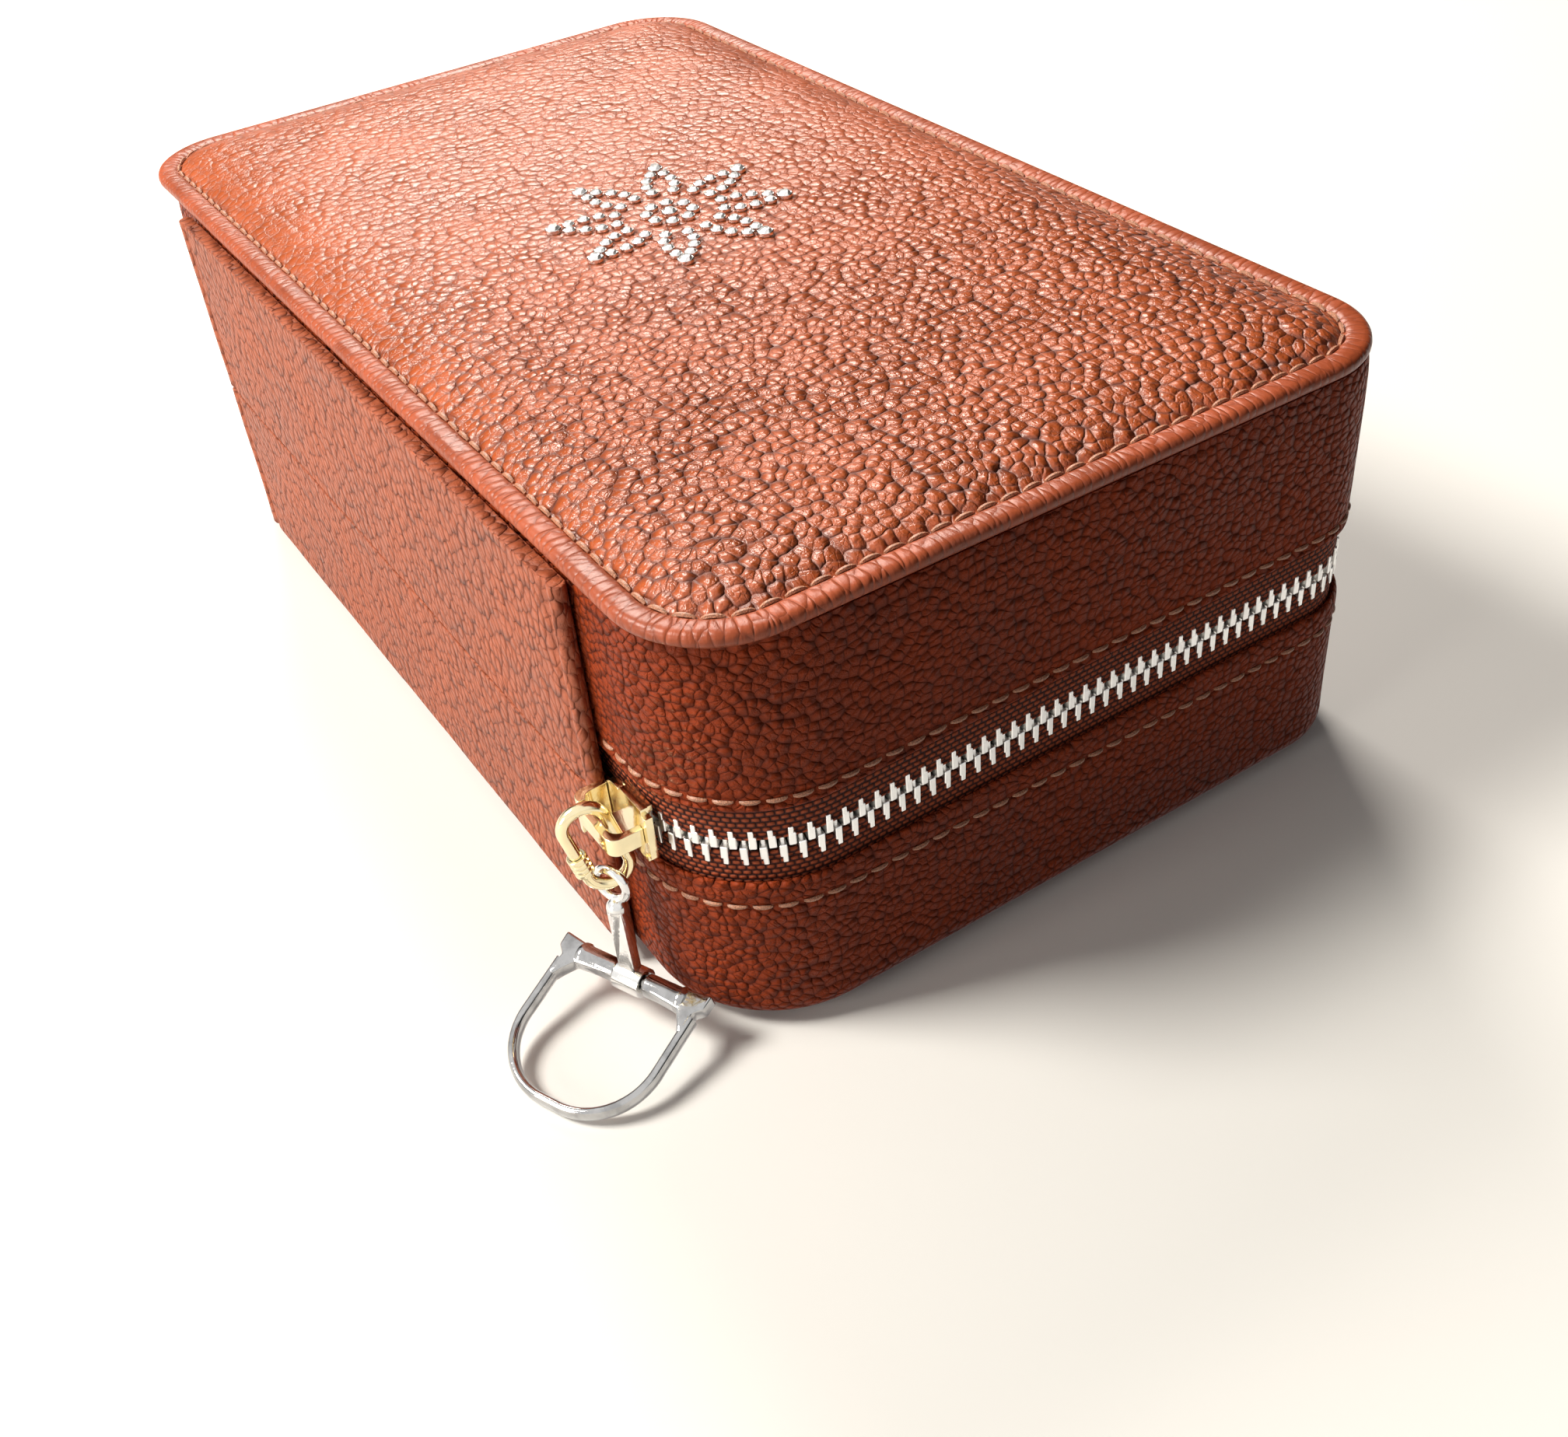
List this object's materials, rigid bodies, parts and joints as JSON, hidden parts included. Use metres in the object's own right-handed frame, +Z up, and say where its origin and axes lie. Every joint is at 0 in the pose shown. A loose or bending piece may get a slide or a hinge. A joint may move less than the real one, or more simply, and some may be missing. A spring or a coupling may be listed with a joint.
{
  "type": "zip-round leather jewellery case",
  "caption": "Pebbled leather jewellery case with a padded lid, stiff spine, zip round three sides, slider with link and stirrup pull, lined compartments, ring rolls and lid mirror.",
  "frame": {"origin": "centre of the body's underside, which rests on the table, midway between the end walls and midway between the front and spine walls", "axes": "+X along the case, away from the end that carries the zip pull; +Y towards the spine, where the lid is hinged; +Z up"},
  "size_m": [0.204, 0.1445, 0.0741],
  "materials": {
    "pebbled_leather": "pebbled, satin",
    "smooth_leather": "smooth, satin",
    "suede": "brushed suede",
    "board": "plain",
    "foam": "open foam",
    "zip_tape": "woven twill",
    "zip_teeth": "polished",
    "gold": "polished",
    "silver": "polished",
    "gunmetal": "polished",
    "mirror": "silvered",
    "crystal": "faceted"
  },
  "bodies": {
    "base": {"base_board": "board", "base_leather_wall": "pebbled_leather", "base_underside": "smooth_leather", "base_lining": "suede", "spine_panel_lower": "smooth_leather", "spine_fold": "smooth_leather", "zip_tape_lower": "zip_tape", "zip_teeth_lower": "zip_teeth", "zip_teeth_lower_corner": "zip_teeth", "zip_stops_lower": "zip_teeth", "divider_long": "suede", "divider_front": "suede", "dividers_spine_side": "suede", "ring_rolls": "suede"},
    "lid": {"lid_board": "board", "lid_leather_wall": "pebbled_leather", "lid_rim_lip": "smooth_leather", "lid_top_panel": "pebbled_leather", "lid_foam_pad": "foam", "lid_lining": "suede", "mirror": "mirror", "mirror_frame": "smooth_leather", "crystal_rosette": "crystal", "spine_panel_upper": "smooth_leather", "zip_tape_upper": "zip_tape", "zip_tape_upper_corner": "zip_tape", "zip_teeth_upper": "zip_teeth", "zip_teeth_upper_corner": "zip_teeth", "zip_stops_upper": "zip_teeth"},
    "slider": {"slider_body": "gold", "slider_bridge": "gold"},
    "link": {"pull_link": "gold", "link_collar": "gold"},
    "bar": {"eye_bar": "silver"},
    "stirrup": {"stirrup_frame": "gunmetal", "stirrup_pin": "gunmetal"}
  },
  "joints": [
    {"name": "lid_open", "type": "hinge", "parent": "base", "child": "lid", "pos_m": [0, 0.0629, 0.0334], "axis": [-1, 0, 0], "range_deg": [0, 100], "deforming": ["spine_fold", "zip_tape_upper_corner"]},
    {"name": "slider_corner", "type": "hinge", "parent": "base", "child": "slider", "pos_m": [-0.0812, 0.0392, 0.0334], "axis": [0, 0, 1], "range_deg": [0, 66], "deforming": ["zip_teeth_lower_corner", "zip_teeth_upper_corner"]},
    {"name": "link_swing", "type": "hinge", "parent": "slider", "child": "link", "pos_m": [-0.0812, 0.06261, 0.0334], "axis": [0.0462, 0.2375, 0.9703], "range_deg": [-20, 0]},
    {"name": "bar_swing", "type": "hinge", "parent": "link", "child": "bar", "pos_m": [-0.08095, 0.0639, 0.02327], "axis": [0.1908, 0.9816, 0], "range_deg": [0, 30]},
    {"name": "stirrup_swing", "type": "hinge", "parent": "bar", "child": "stirrup", "pos_m": [-0.08372, 0.06467, 0.00704], "axis": [0.915, 0.4035, 0], "range_deg": [0, 40]}
  ]
}
